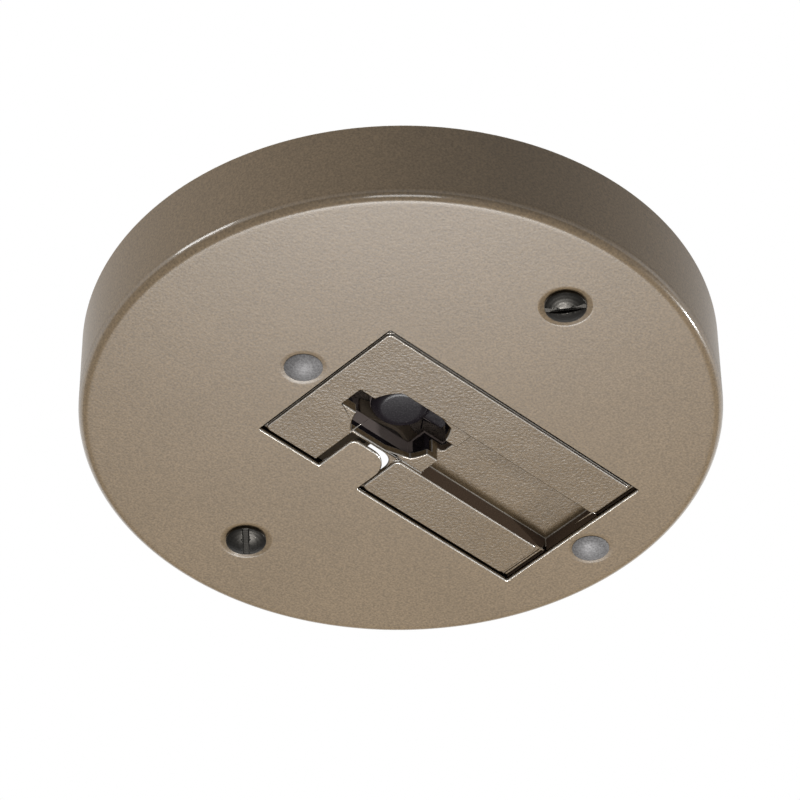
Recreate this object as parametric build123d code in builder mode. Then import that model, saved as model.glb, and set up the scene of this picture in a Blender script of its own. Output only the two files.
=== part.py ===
from build123d import *
import os

# Round ceiling canopy for one plug-in spotlight. Millimetres, as installed: +Z points up to the
# ceiling, z = 0 is the ceiling plane at the shell's rim, and the face looks down at the room.
# Depths are counted from the outer face up into the shell.

# Canopy shell, drawn from sheet steel
canopy_diameter = 127.0
canopy_height = 19.0
sheet = 0.8
face_edge_radius = 2.0

# Cut-out in the face, and the tongue of sheet left standing in it
cutout_reach = 20.1
cutout_margin = 15.7
cutout_width = 37.8
cutout_y = 0.4
tongue_width = 10.35
tongue_x = 0.85
tongue_length = 10.3
tongue_near_radius = 1.4
tongue_far_radius = 5.0

# Rivets and canopy screws
rivet_margin = 5.45
rivet_radius = 2.0
rivet_head_radius = 3.85
rivet_head_height = 1.2
rivet_tail_radius = 3.1
rivet_tail_height = 0.9
rivet_tail_land_radius = 2.5
rivet_dimple_radius = 1.2
rivet_dimple_depth = 0.6
rivet_clearance = 0.05
screw_margin = 17.46
screw_radius = 2.0
screw_hole_radius = 2.4
screw_head_radius = 4.1
screw_head_height = 1.7
screw_head_edge = 0.8
screw_point = 1.0
screw_slot_width = 1.2
screw_slot_depth = 0.9
screw_end_gap = 0.4
screw_slot_angles = (-52, 47)
dimple_radius = 6.2
dimple_slope = 1.2
dimple_depth = 0.5

# Adapter cradle, cast in one piece
edge_gap = 0.6
platform_depth = 0.2
platform_inset = 0.25
platform_end_inset = 0.1
platform_corner_radius = 1.2
floor_depth = 1.0
deck_thickness = 3.0
flange_thickness = 1.6
flange_border = 3.2
ear_width = 14.0
ear_end = 7.0
groove_bottom_depth = 1.9
trench_half_width = 7.5
trench_start_x = 12.9
trench_depth = 4.3
trench_wall = 1.6
trench_floor = 1.8
trench_overrun = 0.1
notch_near_clearance = 1.6
notch_far_clearance = 0.48
notch_tip_clearance = 0.6
notch_near_radius = 0.9
notch_far_radius = 3.6
notch_relief = 2.8
notch_lip = 0.6
short_platform_end_inset = 1.7
long_platform_end_inset = 0.8
pocket_depth = 1.4
pocket_rib = 1.4
pocket_count = 3

# Keyed hole for the adapter's stem, tapered towards the trench and slotted into its floor
key_radius = 9.9
key_x = 0.4
key_flat_step = 0.1
key_taper_x = 3.0
key_taper_half_width = 5.9
key_reach = 12.95
key_slot_end_x = 14.3
key_slot_end_radius = 0.8
key_half_width = 2.65
recess_depth = 2.6

# Contact block behind the keyed hole, moulded
stem_box_wall = 1.4
stem_box_clearance = 0.3
block_wall = 1.5
block_end_wall = 2.4
block_top = 1.4
block_clearance = 0.3
partition_gap = 2.3
partition = 4.0
bay_pitch = 7.2
bay_width = 6.2
bay_length = 15.0
bay_floor_depth = 8.5
wire_hole_radius = 1.6
hub_clearance = 1.2
hub_depth = 5.3
hub_edge_radius = 2.5
guide_clearance = 0.6
guide_depth = 6.5
guide_edge_radius = 0.8
lug_reach = 4.0
lug_radius = 3.0

# Contacts, pressed from strip
contact_sheet = 0.8
contact_back_gap = 1.0
contact_clearance = 0.15
contact_standoff = 0.8
contact_press = 0.3
contact_start_x = -2.0
contact_swell_x = 7.0
contact_straight = 2.0
contact_lead = 0.3
tab_width = 5.4
blade_overrun = 1.2
finger_width = 4.0
finger_back_gap = 1.9
finger_reach = 5.0
finger_radius = 1.0

# Terminal screws
terminal_screw_radius = 1.7
terminal_head_radius = 2.8
terminal_head_height = 1.8
terminal_clearance = 0.05
terminal_relief_radius = 2.1
terminal_end_gap = 0.3
driver_slot_width = 0.8
driver_slot_depth = 0.9

# Fibre sheet and back cover of the contact block
fibre_thickness = 0.5
fibre_flange_clearance = 0.1
cover_thickness = 1.5
cover_corner_radius = 1.0
cover_screw_radius = 1.1
cover_head_radius = 2.0
cover_head_height = 1.4
cover_screw_bite_gap = 1.9
cover_screw_y = 5.4
cover_slot_width = 0.6

# Screws that hold the block to the cradle
housing_screw_radius = 1.7
housing_boss_radius = 3.2
housing_ear_radius = 3.6
housing_ear_thickness = 3.0
housing_head_radius = 3.2
housing_head_height = 2.0
housing_boss_offset = 3.4
fit_clearance = 0.05

# Crossbar, pressed from strip
bar_half_width = 11.1
bar_end_gap = 10.5
bar_sheet = 1.2
bar_height = 2.7
bar_end_radius = 6.0
bar_bend_radius = 1.1
bar_collar_radius = 3.2
bar_thread_clearance = 0.1
bar_centre_hole_radius = 5.2
box_hole_circle = 88.9
box_hole_offset = 7.0
box_hole_radius = 2.4
box_slot_spacing = 69.85
box_slot_length = 9.0

# Earthing screw on the crossbar
ground_screw_y = -25.0
ground_screw_radius = 2.4
ground_hex_across_flats = 6.35
ground_washer_radius = 4.5
ground_washer_thickness = 0.8
ground_head_height = 3.0

# Places worked out from the sizes above
canopy_radius = canopy_diameter / 2
cutout_start_x = -cutout_reach
cutout_end_x = canopy_radius - cutout_margin
cutout_length = cutout_end_x - cutout_start_x
cutout_x = (cutout_start_x + cutout_end_x) / 2
cutout_half_width = cutout_width / 2
tongue_tip_y = cutout_half_width - tongue_length
flange_depth = sheet
flange_back_depth = sheet + flange_thickness
deck_back_depth = floor_depth + deck_thickness
trench_back_depth = trench_depth + trench_floor
trench_end_x = cutout_end_x + trench_overrun
platform_half_width = cutout_half_width - edge_gap - platform_inset
platform_start_x = cutout_start_x + edge_gap + platform_end_inset
long_platform_end_x = cutout_end_x - edge_gap - long_platform_end_inset
short_platform_end_x = cutout_end_x - edge_gap - short_platform_end_inset
notch_start_x = tongue_x - tongue_width / 2 - notch_near_clearance
notch_end_x = tongue_x + tongue_width / 2 + notch_far_clearance
notch_tip_y = tongue_tip_y - notch_tip_clearance
rivet_spacing = cutout_length + 2 * rivet_margin
rivet_places = [(cutout_x - rivet_spacing / 2, 0), (cutout_x + rivet_spacing / 2, 0)]
screw_y = canopy_radius - screw_margin
screw_places = [(0, -screw_y), (0, screw_y)]
key_half_flat = trench_half_width - key_flat_step
key_taper_end_x = key_x + (key_radius**2 - key_taper_half_width**2) ** 0.5
stem_half_width = key_half_flat + stem_box_clearance
slot_half_width = key_half_width + stem_box_clearance
slot_end_x = key_slot_end_x + stem_box_clearance
stem_box_half_width = stem_half_width + stem_box_wall
stem_box_start_x = -key_reach - stem_box_clearance - block_end_wall
stem_box_end_x = trench_start_x - trench_wall - stem_box_clearance
stem_rim_start_x = key_x - key_radius - stem_box_clearance - stem_box_wall
block_start_x = stem_box_start_x
block_top_depth = trench_back_depth
block_half_width = bay_pitch + bay_width / 2 + block_wall
cavity_half_width = block_half_width - block_wall
cavity_start_x = block_start_x + block_end_wall
cavity_top_depth = block_top_depth + block_top
partition_start_x = key_slot_end_x + partition_gap
bay_start_x = partition_start_x + partition
bay_end_x = bay_start_x + bay_length
block_end_x = bay_end_x + block_wall
bay_centre_x = (bay_start_x + bay_end_x) / 2
lug_x = block_start_x - lug_reach / 2
boss_y = block_half_width + housing_boss_offset
boss_places = [(cavity_start_x, boss_y), (bay_start_x, -boss_y)]
cover_end_x = bay_start_x
cover_screw_places = [
    (lug_x, 0),
    (partition_start_x + partition / 2, cover_screw_y),
    (partition_start_x + partition / 2, -cover_screw_y),
]
tab_back_depth = bay_floor_depth + contact_sheet
bar_flange_depth = canopy_height - bar_height
bar_web_depth = canopy_height - bar_sheet
bar_length = canopy_diameter - 2 * bar_end_gap
cover_back_depth = bar_flange_depth - block_clearance
cover_depth = cover_back_depth - cover_thickness
fibre_depth = cover_depth - fibre_thickness
block_back_depth = fibre_depth
cover_screw_length = cover_back_depth - block_top_depth - cover_screw_bite_gap
hub_radius = key_half_flat - hub_clearance
guide_half_width = key_half_flat - guide_clearance
contact_height = block_back_depth - bay_floor_depth - contact_back_gap
contact_line = cavity_half_width - contact_standoff
contact_swell_line = key_half_flat - contact_press + contact_sheet / 2
finger_depth = block_back_depth - finger_back_gap
fibre_flange_x = partition_start_x - fibre_flange_clearance
fibre_flange_sides = (finger_width / 2 + stem_box_clearance,
                      contact_line - contact_sheet / 2 - stem_box_clearance)
housing_screw_hole_depth = flange_back_depth - terminal_end_gap
box_hole_y = ((box_hole_circle / 2) ** 2 - box_hole_offset**2) ** 0.5

os.makedirs("parts", exist_ok=True)


def at(depth):
    """The horizontal plane at a depth behind the outer face."""
    return Plane.XY.offset(depth - canopy_height)


def save(piece, name, y=0):
    """Move a finished piece along Y, label it and write it."""
    part = piece.part.moved(Location((0, y, 0)))
    part.label = name
    export_step(part, f"parts/{name}.step")


def block(x_range, y_range, depth_range, mode=Mode.ADD):
    """A box between two x, two y and two depths, for the part being built."""
    with Locations((x_range[0], y_range[0], depth_range[0] - canopy_height)):
        Box(x_range[1] - x_range[0], y_range[1] - y_range[0], depth_range[1] - depth_range[0],
            align=(Align.MIN, Align.MIN, Align.MIN), mode=mode)


# Canopy shell
with BuildPart() as canopy:
    with BuildSketch(at(0)):
        Circle(canopy_radius)
    extrude(amount=canopy_height)
    fillet(canopy.edges().sort_by(Axis.Z)[0], face_edge_radius)
    offset(amount=-sheet, openings=canopy.faces().sort_by(Axis.Z)[-1])
    with BuildSketch(at(0)) as opening:
        with Locations((cutout_x, cutout_y)):
            Rectangle(cutout_length, cutout_width)
        with BuildSketch(mode=Mode.SUBTRACT) as tongue:
            with Locations((tongue_x, cutout_y + cutout_half_width - tongue_length / 2)):
                Rectangle(tongue_width, tongue_length)
            fillet(tongue.vertices().group_by(Axis.Y)[0].sort_by(Axis.X)[0], tongue_near_radius)
            fillet(tongue.vertices().group_by(Axis.Y)[0].sort_by(Axis.X)[-1], tongue_far_radius)
    extrude(amount=sheet, mode=Mode.SUBTRACT)
    with Locations(*[(x, y, dimple_depth - canopy_height) for x, y in screw_places]):
        Cone(dimple_radius, dimple_radius - dimple_slope, sheet,
             align=(Align.CENTER, Align.CENTER, Align.MIN))
    with Locations(*[(x, y, -canopy_height) for x, y in screw_places]):
        Cone(dimple_radius, dimple_radius - dimple_slope, dimple_depth,
             align=(Align.CENTER, Align.CENTER, Align.MIN), mode=Mode.SUBTRACT)
    with BuildSketch(at(0)):
        with Locations(*screw_places):
            Circle(screw_hole_radius)
        with Locations(*[(x, y + cutout_y) for x, y in rivet_places]):
            Circle(rivet_radius + rivet_clearance)
    extrude(amount=sheet + dimple_depth, mode=Mode.SUBTRACT)
save(canopy, "canopy")

# Adapter cradle. It and all that it carries are drawn about the cut-out's centre line
with BuildPart() as cradle:
    # Flange behind the sheet, with an ear at each rivet
    with BuildSketch(at(flange_depth)):
        with Locations((cutout_x, 0)):
            RectangleRounded(cutout_length + 2 * flange_border, cutout_width + 2 * flange_border,
                             flange_border)
            SlotOverall(rivet_spacing + 2 * ear_end, ear_width)
    extrude(amount=flange_thickness)
    # Deck, and the tub of the trench under it
    block((cutout_start_x + edge_gap, cutout_end_x - edge_gap),
          (-cutout_half_width + edge_gap, cutout_half_width - edge_gap),
          (flange_depth, deck_back_depth))
    block((trench_start_x - trench_wall, trench_end_x + trench_wall),
          (-trench_half_width - trench_wall, trench_half_width + trench_wall),
          (flange_depth, trench_back_depth))
    # Raised platforms, level with the canopy's face
    with BuildSketch(at(platform_depth)) as platforms:
        with BuildSketch() as long_platform:
            with Locations((platform_start_x, -platform_half_width)):
                Rectangle(long_platform_end_x - platform_start_x,
                          platform_half_width - trench_half_width,
                          align=(Align.MIN, Align.MIN))
                Rectangle(notch_start_x - platform_start_x, 2 * platform_half_width,
                          align=(Align.MIN, Align.MIN))
            fillet(long_platform.vertices().group_by(Axis.X)[0], platform_corner_radius)
            fillet(long_platform.vertices().group_by(Axis.X)[-1], platform_corner_radius)
        with BuildSketch() as short_platform:
            with Locations((notch_end_x, trench_half_width)):
                Rectangle(short_platform_end_x - notch_end_x,
                          platform_half_width - trench_half_width,
                          align=(Align.MIN, Align.MIN))
            fillet(short_platform.vertices(), platform_corner_radius)
    extrude(amount=floor_depth - platform_depth)
    # Floor between the platforms, the groove round the deck, and the trench
    block((notch_start_x, trench_start_x), (-trench_half_width, trench_half_width),
          (platform_depth, floor_depth), mode=Mode.SUBTRACT)
    block((long_platform_end_x, cutout_end_x), (-cutout_half_width, cutout_half_width),
          (flange_depth, floor_depth), mode=Mode.SUBTRACT)
    with BuildSketch(at(flange_depth)):
        with Locations((cutout_x, 0)):
            Rectangle(cutout_length, cutout_width)
            Rectangle(cutout_length - 2 * edge_gap, cutout_width - 2 * edge_gap,
                      mode=Mode.SUBTRACT)
    extrude(amount=groove_bottom_depth - flange_depth, mode=Mode.SUBTRACT)
    block((trench_start_x, trench_end_x), (-trench_half_width, trench_half_width),
          (platform_depth, trench_depth), mode=Mode.SUBTRACT)
    # Keyed hole
    with BuildSketch(at(platform_depth)):
        with Locations((key_x, 0)):
            Circle(key_radius)
        with BuildSketch(mode=Mode.INTERSECT):
            with BuildLine():
                Polyline((-key_reach, -key_half_flat), (key_taper_x, -key_half_flat),
                         (key_taper_end_x, -key_taper_half_width),
                         (key_slot_end_x, -key_taper_half_width),
                         (key_slot_end_x, key_taper_half_width),
                         (key_taper_end_x, key_taper_half_width),
                         (key_taper_x, key_half_flat), (-key_reach, key_half_flat), close=True)
            make_face()
        with BuildSketch() as key_slot:
            with Locations((-key_reach, 0)):
                Rectangle(key_reach + key_slot_end_x, 2 * key_half_width,
                          align=(Align.MIN, Align.CENTER))
            fillet(key_slot.vertices().group_by(Axis.X)[-1], key_slot_end_radius)
    extrude(amount=trench_back_depth - platform_depth, mode=Mode.SUBTRACT)
    # Recess behind the hole for the rim of the contact block's stem box
    block((stem_rim_start_x - stem_box_clearance, trench_start_x - trench_wall),
          (-stem_box_half_width - stem_box_clearance, stem_box_half_width + stem_box_clearance),
          (recess_depth, deck_back_depth), mode=Mode.SUBTRACT)
    # Notch round the tongue, relieved behind on its far side
    for reach, start_depth in ((0, platform_depth), (notch_relief, floor_depth + notch_lip)):
        with BuildSketch(at(start_depth)) as notch:
            with Locations((notch_start_x, notch_tip_y)):
                Rectangle(notch_end_x + reach - notch_start_x, cutout_half_width - notch_tip_y,
                          align=(Align.MIN, Align.MIN))
            fillet(notch.vertices().group_by(Axis.Y)[0].sort_by(Axis.X)[0], notch_near_radius)
            fillet(notch.vertices().group_by(Axis.Y)[0].sort_by(Axis.X)[-1], notch_far_radius)
        extrude(amount=deck_back_depth - start_depth, mode=Mode.SUBTRACT)
    # Pockets that lighten the platforms from behind, with ribs between them
    pocket_run = short_platform_end_x - trench_start_x
    pocket_pitch = pocket_run / pocket_count
    pocket_y = (trench_half_width + trench_wall + pocket_rib + platform_half_width) / 2
    with BuildSketch(at(deck_back_depth)):
        with Locations((trench_start_x + pocket_run / 2, 0)):
            with GridLocations(pocket_pitch, 2 * pocket_y, pocket_count, 2):
                RectangleRounded(pocket_pitch - pocket_rib,
                                 2 * (platform_half_width - pocket_rib - pocket_y), pocket_rib / 2)
    extrude(amount=-pocket_depth, mode=Mode.SUBTRACT)
    # Bosses for the contact block's screws
    with BuildSketch(at(flange_back_depth)):
        with Locations(*boss_places):
            Circle(housing_boss_radius)
    extrude(amount=block_top_depth - flange_back_depth)
    with BuildSketch(at(block_top_depth)):
        with Locations(*boss_places):
            Circle(housing_screw_radius + fit_clearance)
    extrude(amount=-(block_top_depth - housing_screw_hole_depth), mode=Mode.SUBTRACT)
    # Rivet holes
    with BuildSketch(at(flange_depth)):
        with Locations(*rivet_places):
            Circle(rivet_radius + rivet_clearance)
    extrude(amount=flange_thickness, mode=Mode.SUBTRACT)
save(cradle, "adapter_cradle", cutout_y)

# Two rivets, domed outside and rolled over behind the flange
face_z = -canopy_height
with BuildPart() as rivet:
    with BuildSketch(Plane.XZ):
        with BuildLine():
            dome = TangentArc((0, face_z - rivet_head_height), (rivet_head_radius, face_z),
                              tangent=(1, 0))
            back_z = face_z + flange_back_depth
            tail_z = back_z + rivet_tail_height
            Polyline(dome @ 1, (rivet_radius, face_z), (rivet_radius, back_z),
                     (rivet_tail_radius, back_z), (rivet_tail_land_radius, tail_z),
                     (rivet_dimple_radius, tail_z), (0, tail_z - rivet_dimple_depth), dome @ 0)
        make_face()
    revolve(axis=Axis.Z)
with BuildPart() as rivets:
    with Locations(*rivet_places):
        add(rivet.part)
save(rivets, "cradle_rivets", cutout_y)

# Two slotted canopy screws, run into the crossbar
with BuildPart() as canopy_screw:
    with BuildSketch(Plane.XZ):
        with BuildLine():
            seat_z = face_z + dimple_depth
            top_z = seat_z - screw_head_height
            crown = TangentArc((0, top_z), (screw_head_radius, seat_z - screw_head_edge),
                               tangent=(1, 0))
            Polyline(crown @ 1, (screw_head_radius, seat_z), (screw_radius, seat_z),
                     (screw_radius, -screw_end_gap - screw_point),
                     (screw_radius - screw_point, -screw_end_gap), (0, -screw_end_gap), crown @ 0)
        make_face()
    revolve(axis=Axis.Z)
with BuildPart() as canopy_screws:
    for place, slot_angle in zip(screw_places, screw_slot_angles):
        with Locations(place):
            add(canopy_screw.part)
        with Locations(Location((place[0], place[1], top_z), (0, 0, slot_angle))):
            Box(3 * screw_head_radius, screw_slot_width, 2 * screw_slot_depth, mode=Mode.SUBTRACT)
save(canopy_screws, "canopy_screws")

# Hub under the keyed hole that the stem turns on, and the guide that runs beside it
with BuildPart() as hub:
    with BuildSketch(at(hub_depth)):
        with Locations((key_x, 0)):
            Circle(hub_radius)
    extrude(amount=block_back_depth - hub_depth)
    fillet(hub.edges().group_by(Axis.Z)[0], hub_edge_radius)
with BuildPart() as guide:
    block((cavity_start_x, stem_box_end_x), (-guide_half_width, 0), (guide_depth, block_back_depth))
    fillet(guide.edges().filter_by(Axis.X).group_by(Axis.Z)[0], guide_edge_radius)

# Contact block
with BuildPart() as housing:
    # Stem box under the keyed hole with its rim in the recess, and the main block behind it
    block((stem_rim_start_x, stem_box_end_x), (-stem_box_half_width, stem_box_half_width),
          (recess_depth, deck_back_depth))
    block((stem_box_start_x, stem_box_end_x), (-stem_box_half_width, stem_box_half_width),
          (deck_back_depth, block_top_depth))
    block((block_start_x, block_end_x), (-block_half_width, block_half_width),
          (block_top_depth, block_back_depth))
    fillet(housing.edges().filter_by(Axis.Z).group_by(Axis.X)[-1], cover_corner_radius)
    # Ears for the screws into the cradle
    with BuildSketch(at(block_top_depth)):
        with Locations(*boss_places):
            Circle(housing_ear_radius)
        for x, y in boss_places:
            side = 1 if y > 0 else -1
            with Locations((x, side * (boss_y + block_half_width - block_wall) / 2)):
                Rectangle(2 * housing_ear_radius, boss_y - block_half_width + block_wall)
    extrude(amount=housing_ear_thickness)
    # Lug for the cover screw at the near end
    with BuildSketch(at(block_top_depth)):
        with Locations((lug_x, 0)):
            Circle(lug_radius)
            Rectangle(lug_reach / 2, 2 * lug_radius, align=(Align.MIN, Align.CENTER))
    extrude(amount=block_back_depth - block_top_depth)
    # Room for the stem and its keys, then the wider contact cavity
    block((stem_rim_start_x + stem_box_wall, stem_box_end_x - stem_box_wall),
          (-stem_half_width, stem_half_width), (recess_depth, deck_back_depth), mode=Mode.SUBTRACT)
    block((cavity_start_x, stem_box_end_x - stem_box_wall), (-stem_half_width, stem_half_width),
          (deck_back_depth, block_back_depth), mode=Mode.SUBTRACT)
    block((cavity_start_x, slot_end_x), (-slot_half_width, slot_half_width),
          (recess_depth, cavity_top_depth), mode=Mode.SUBTRACT)
    block((cavity_start_x, partition_start_x), (-cavity_half_width, cavity_half_width),
          (cavity_top_depth, block_back_depth), mode=Mode.SUBTRACT)
    add(hub.part)
    add(guide.part)
    # Terminal bays with their wire holes, and the slots that the contacts stand in
    with BuildSketch(at(bay_floor_depth)):
        with Locations((bay_centre_x, 0)):
            with GridLocations(1, bay_pitch, 1, 3):
                Rectangle(bay_length, bay_width)
        with Locations(((partition_start_x + bay_start_x) / 2, 0)):
            with GridLocations(1, 2 * contact_line, 1, 2):
                Rectangle(partition, contact_sheet + 2 * contact_clearance)
    extrude(amount=block_back_depth - bay_floor_depth, mode=Mode.SUBTRACT)
    block((partition_start_x, bay_start_x),
          (-finger_width / 2 - contact_clearance, finger_width / 2 + contact_clearance),
          (bay_floor_depth, block_back_depth), mode=Mode.SUBTRACT)
    with BuildSketch(Plane.YZ.offset(block_end_x)):
        with Locations((0, tab_back_depth + wire_hole_radius - canopy_height)):
            with GridLocations(bay_pitch, 1, 3, 1):
                Circle(wire_hole_radius)
    extrude(amount=-block_wall, mode=Mode.SUBTRACT)
    # Holes under the terminal screws, for the cover screws and for the screws to the cradle
    with BuildSketch(at(bay_floor_depth)):
        with Locations((bay_centre_x, 0)):
            with GridLocations(1, bay_pitch, 1, 3):
                Circle(terminal_relief_radius)
    extrude(amount=-(bay_floor_depth - cavity_top_depth), mode=Mode.SUBTRACT)
    with BuildSketch(at(block_back_depth)):
        with Locations(*cover_screw_places):
            Circle(cover_screw_radius + fit_clearance)
    extrude(amount=-(cover_screw_length - fibre_thickness - cover_thickness + terminal_end_gap),
            mode=Mode.SUBTRACT)
    with BuildSketch(at(block_top_depth)):
        with Locations(*boss_places):
            Circle(housing_screw_radius + fit_clearance)
    extrude(amount=housing_ear_thickness, mode=Mode.SUBTRACT)
save(housing, "contact_housing", cutout_y)

# Line and neutral contacts: a sprung blade along each side wall, and a tab in the outer bays
tab_start_x = bay_start_x + contact_clearance
tab_end_x = bay_end_x - contact_clearance
for name, side in (("line_contact", 1), ("neutral_contact", -1)):
    with BuildPart() as contact:
        with BuildSketch(at(bay_floor_depth)):
            with BuildLine():
                rest_y = side * contact_line
                straight_x = partition_start_x - contact_straight
                Spline((contact_start_x, rest_y), (contact_swell_x, side * contact_swell_line),
                       (straight_x, rest_y), tangents=((1, -side * contact_lead), (1, 0)))
                Line((straight_x, rest_y), (bay_start_x + blade_overrun, rest_y))
            trace(line_width=contact_sheet)
        extrude(amount=contact_height)
        with BuildSketch(at(bay_floor_depth)):
            with Locations(((tab_start_x + tab_end_x) / 2, side * (contact_line - tab_width / 2))):
                Rectangle(tab_end_x - tab_start_x, tab_width)
        extrude(amount=contact_sheet)
        with BuildSketch(at(bay_floor_depth)):
            with Locations((bay_centre_x, side * bay_pitch)):
                Circle(terminal_screw_radius + terminal_clearance)
        extrude(amount=contact_sheet, mode=Mode.SUBTRACT)
    save(contact, name, cutout_y)

# Earth contact: a flat tab in the middle bay and a slanting finger in the cavity
with BuildPart() as ground_contact:
    with BuildSketch(Plane.XZ.offset(-finger_width / 2)):
        with BuildLine():
            strip_z = bay_floor_depth + contact_sheet / 2 - canopy_height
            FilletPolyline((tab_end_x, strip_z), (partition_start_x, strip_z),
                           (partition_start_x - finger_reach, finger_depth - canopy_height),
                           radius=finger_radius)
        trace(line_width=contact_sheet)
    extrude(amount=finger_width)
    with BuildSketch(at(bay_floor_depth)):
        with Locations((bay_centre_x, 0)):
            Rectangle(tab_end_x - tab_start_x, tab_width)
    extrude(amount=contact_sheet)
    with BuildSketch(at(bay_floor_depth)):
        with Locations((bay_centre_x, 0)):
            Circle(terminal_screw_radius + terminal_clearance)
    extrude(amount=contact_sheet, mode=Mode.SUBTRACT)
save(ground_contact, "ground_contact", cutout_y)

# A terminal screw in each bay, clamping down on its tab
for name, y in (("line", bay_pitch), ("neutral", -bay_pitch), ("ground", 0)):
    with BuildPart() as terminal_screw:
        with BuildSketch(at(tab_back_depth)):
            with Locations((bay_centre_x, y)):
                Circle(terminal_head_radius)
        extrude(amount=terminal_head_height)
        fillet(terminal_screw.edges().sort_by(Axis.Z)[-1], terminal_head_height / 3)
        with BuildSketch(at(cavity_top_depth + terminal_end_gap)):
            with Locations((bay_centre_x, y)):
                Circle(terminal_screw_radius)
        extrude(amount=tab_back_depth - cavity_top_depth - terminal_end_gap)
        with BuildSketch(at(tab_back_depth + terminal_head_height)):
            with Locations((bay_centre_x, y)):
                Rectangle(3 * terminal_head_radius, driver_slot_width)
        extrude(amount=-driver_slot_depth, mode=Mode.SUBTRACT)
    save(terminal_screw, f"{name}_terminal_screw", cutout_y)

# Fibre sheet and moulded cover that close the cavity from behind. The sheet has a flange turned
# up against the partition, between the earth finger and the line contact
for name, depth, thickness in (("fibre_sheet", fibre_depth, fibre_thickness),
                               ("housing_cover", cover_depth, cover_thickness)):
    with BuildPart() as plate:
        with BuildSketch(at(depth)):
            with Locations((block_start_x, 0)):
                Rectangle(cover_end_x - block_start_x, 2 * block_half_width,
                          align=(Align.MIN, Align.CENTER))
            with Locations((lug_x, 0)):
                Circle(lug_radius)
                Rectangle(lug_reach / 2, 2 * lug_radius, align=(Align.MIN, Align.CENTER))
            with Locations(*cover_screw_places):
                Circle(cover_screw_radius + fit_clearance, mode=Mode.SUBTRACT)
        extrude(amount=thickness)
        if name == "fibre_sheet":
            block((fibre_flange_x - fibre_thickness, fibre_flange_x), fibre_flange_sides,
                  (cavity_top_depth + fibre_flange_clearance, fibre_depth))
    save(plate, name, cutout_y)

# Three screws through the cover
with BuildPart() as cover_screws:
    with BuildSketch(at(cover_back_depth - cover_screw_length)):
        with Locations(*cover_screw_places):
            Circle(cover_screw_radius)
    extrude(amount=cover_screw_length)
    with BuildSketch(at(cover_back_depth)):
        with Locations(*cover_screw_places):
            Circle(cover_head_radius)
    extrude(amount=cover_head_height)
    fillet(cover_screws.edges().group_by(Axis.Z)[-1], cover_head_height / 3)
    with BuildSketch(at(cover_back_depth + cover_head_height)):
        with Locations(*cover_screw_places):
            Rectangle(3 * cover_head_radius, cover_slot_width)
    extrude(amount=-cover_head_height / 2, mode=Mode.SUBTRACT)
save(cover_screws, "cover_screws", cutout_y)

# Two screws that hold the contact block to the cradle's bosses
with BuildPart() as housing_screws:
    ear_back_depth = block_top_depth + housing_ear_thickness
    with BuildSketch(at(flange_back_depth)):
        with Locations(*boss_places):
            Circle(housing_screw_radius)
    extrude(amount=ear_back_depth - flange_back_depth)
    with BuildSketch(at(ear_back_depth)):
        with Locations(*boss_places):
            Circle(housing_head_radius)
    extrude(amount=housing_head_height)
    fillet(housing_screws.edges().group_by(Axis.Z)[-1], housing_head_height / 3)
    with BuildSketch(at(ear_back_depth + housing_head_height)):
        with Locations(*boss_places):
            Rectangle(3 * housing_head_radius, driver_slot_width)
    extrude(amount=-driver_slot_depth, mode=Mode.SUBTRACT)
save(housing_screws, "housing_screws", cutout_y)

# Crossbar: a shallow channel with box-screw holes, a centre hole and collared tapped holes
with BuildPart() as crossbar:
    with BuildSketch(at(bar_flange_depth)) as bar_outline:
        Rectangle(2 * bar_half_width, bar_length)
        fillet(bar_outline.vertices(), bar_end_radius)
    extrude(amount=canopy_height - bar_flange_depth)
    block((-bar_half_width + bar_sheet, bar_half_width - bar_sheet), (-bar_length, bar_length),
          (bar_flange_depth, bar_web_depth), mode=Mode.SUBTRACT)
    fillet(crossbar.edges().filter_by(Axis.Y).group_by(Axis.Z)[-1], bar_bend_radius)
    with BuildSketch(at(bar_flange_depth)):
        with Locations(*screw_places):
            Circle(bar_collar_radius)
    extrude(amount=bar_web_depth - bar_flange_depth)
    with BuildSketch(at(bar_flange_depth)):
        Circle(bar_centre_hole_radius)
        with Locations(*screw_places):
            Circle(screw_radius + bar_thread_clearance)
        with Locations((0, ground_screw_y)):
            Circle(ground_screw_radius + fit_clearance)
        with Locations((box_hole_offset, box_hole_y), (-box_hole_offset, -box_hole_y)):
            Circle(box_hole_radius)
        with GridLocations(1, box_slot_spacing, 1, 2):
            SlotOverall(box_slot_length, 2 * box_hole_radius, rotation=90)
    extrude(amount=canopy_height - bar_flange_depth, mode=Mode.SUBTRACT)
save(crossbar, "crossbar")

# Earthing screw with a hexagon washer head
with BuildPart() as ground_screw:
    with BuildSketch(at(bar_web_depth)):
        with Locations((0, ground_screw_y)):
            Circle(ground_washer_radius)
    extrude(amount=-ground_washer_thickness)
    with BuildSketch(at(bar_web_depth - ground_washer_thickness)):
        with Locations((0, ground_screw_y)):
            RegularPolygon(ground_hex_across_flats / 2, 6, major_radius=False)
    extrude(amount=-(ground_head_height - ground_washer_thickness))
    with BuildSketch(at(bar_web_depth)):
        with Locations((0, ground_screw_y)):
            Circle(ground_screw_radius)
    extrude(amount=bar_sheet)
    with BuildSketch(at(bar_web_depth - ground_head_height)):
        with Locations((0, ground_screw_y)):
            Rectangle(2 * ground_hex_across_flats, screw_slot_width)
    extrude(amount=screw_slot_depth, mode=Mode.SUBTRACT)
save(ground_screw, "ground_screw")
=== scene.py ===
import math

import bmesh
import bpy
from bpy.props import FloatProperty, FloatVectorProperty, IntProperty, PointerProperty
from mathutils import Matrix, Quaternion, Vector


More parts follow.
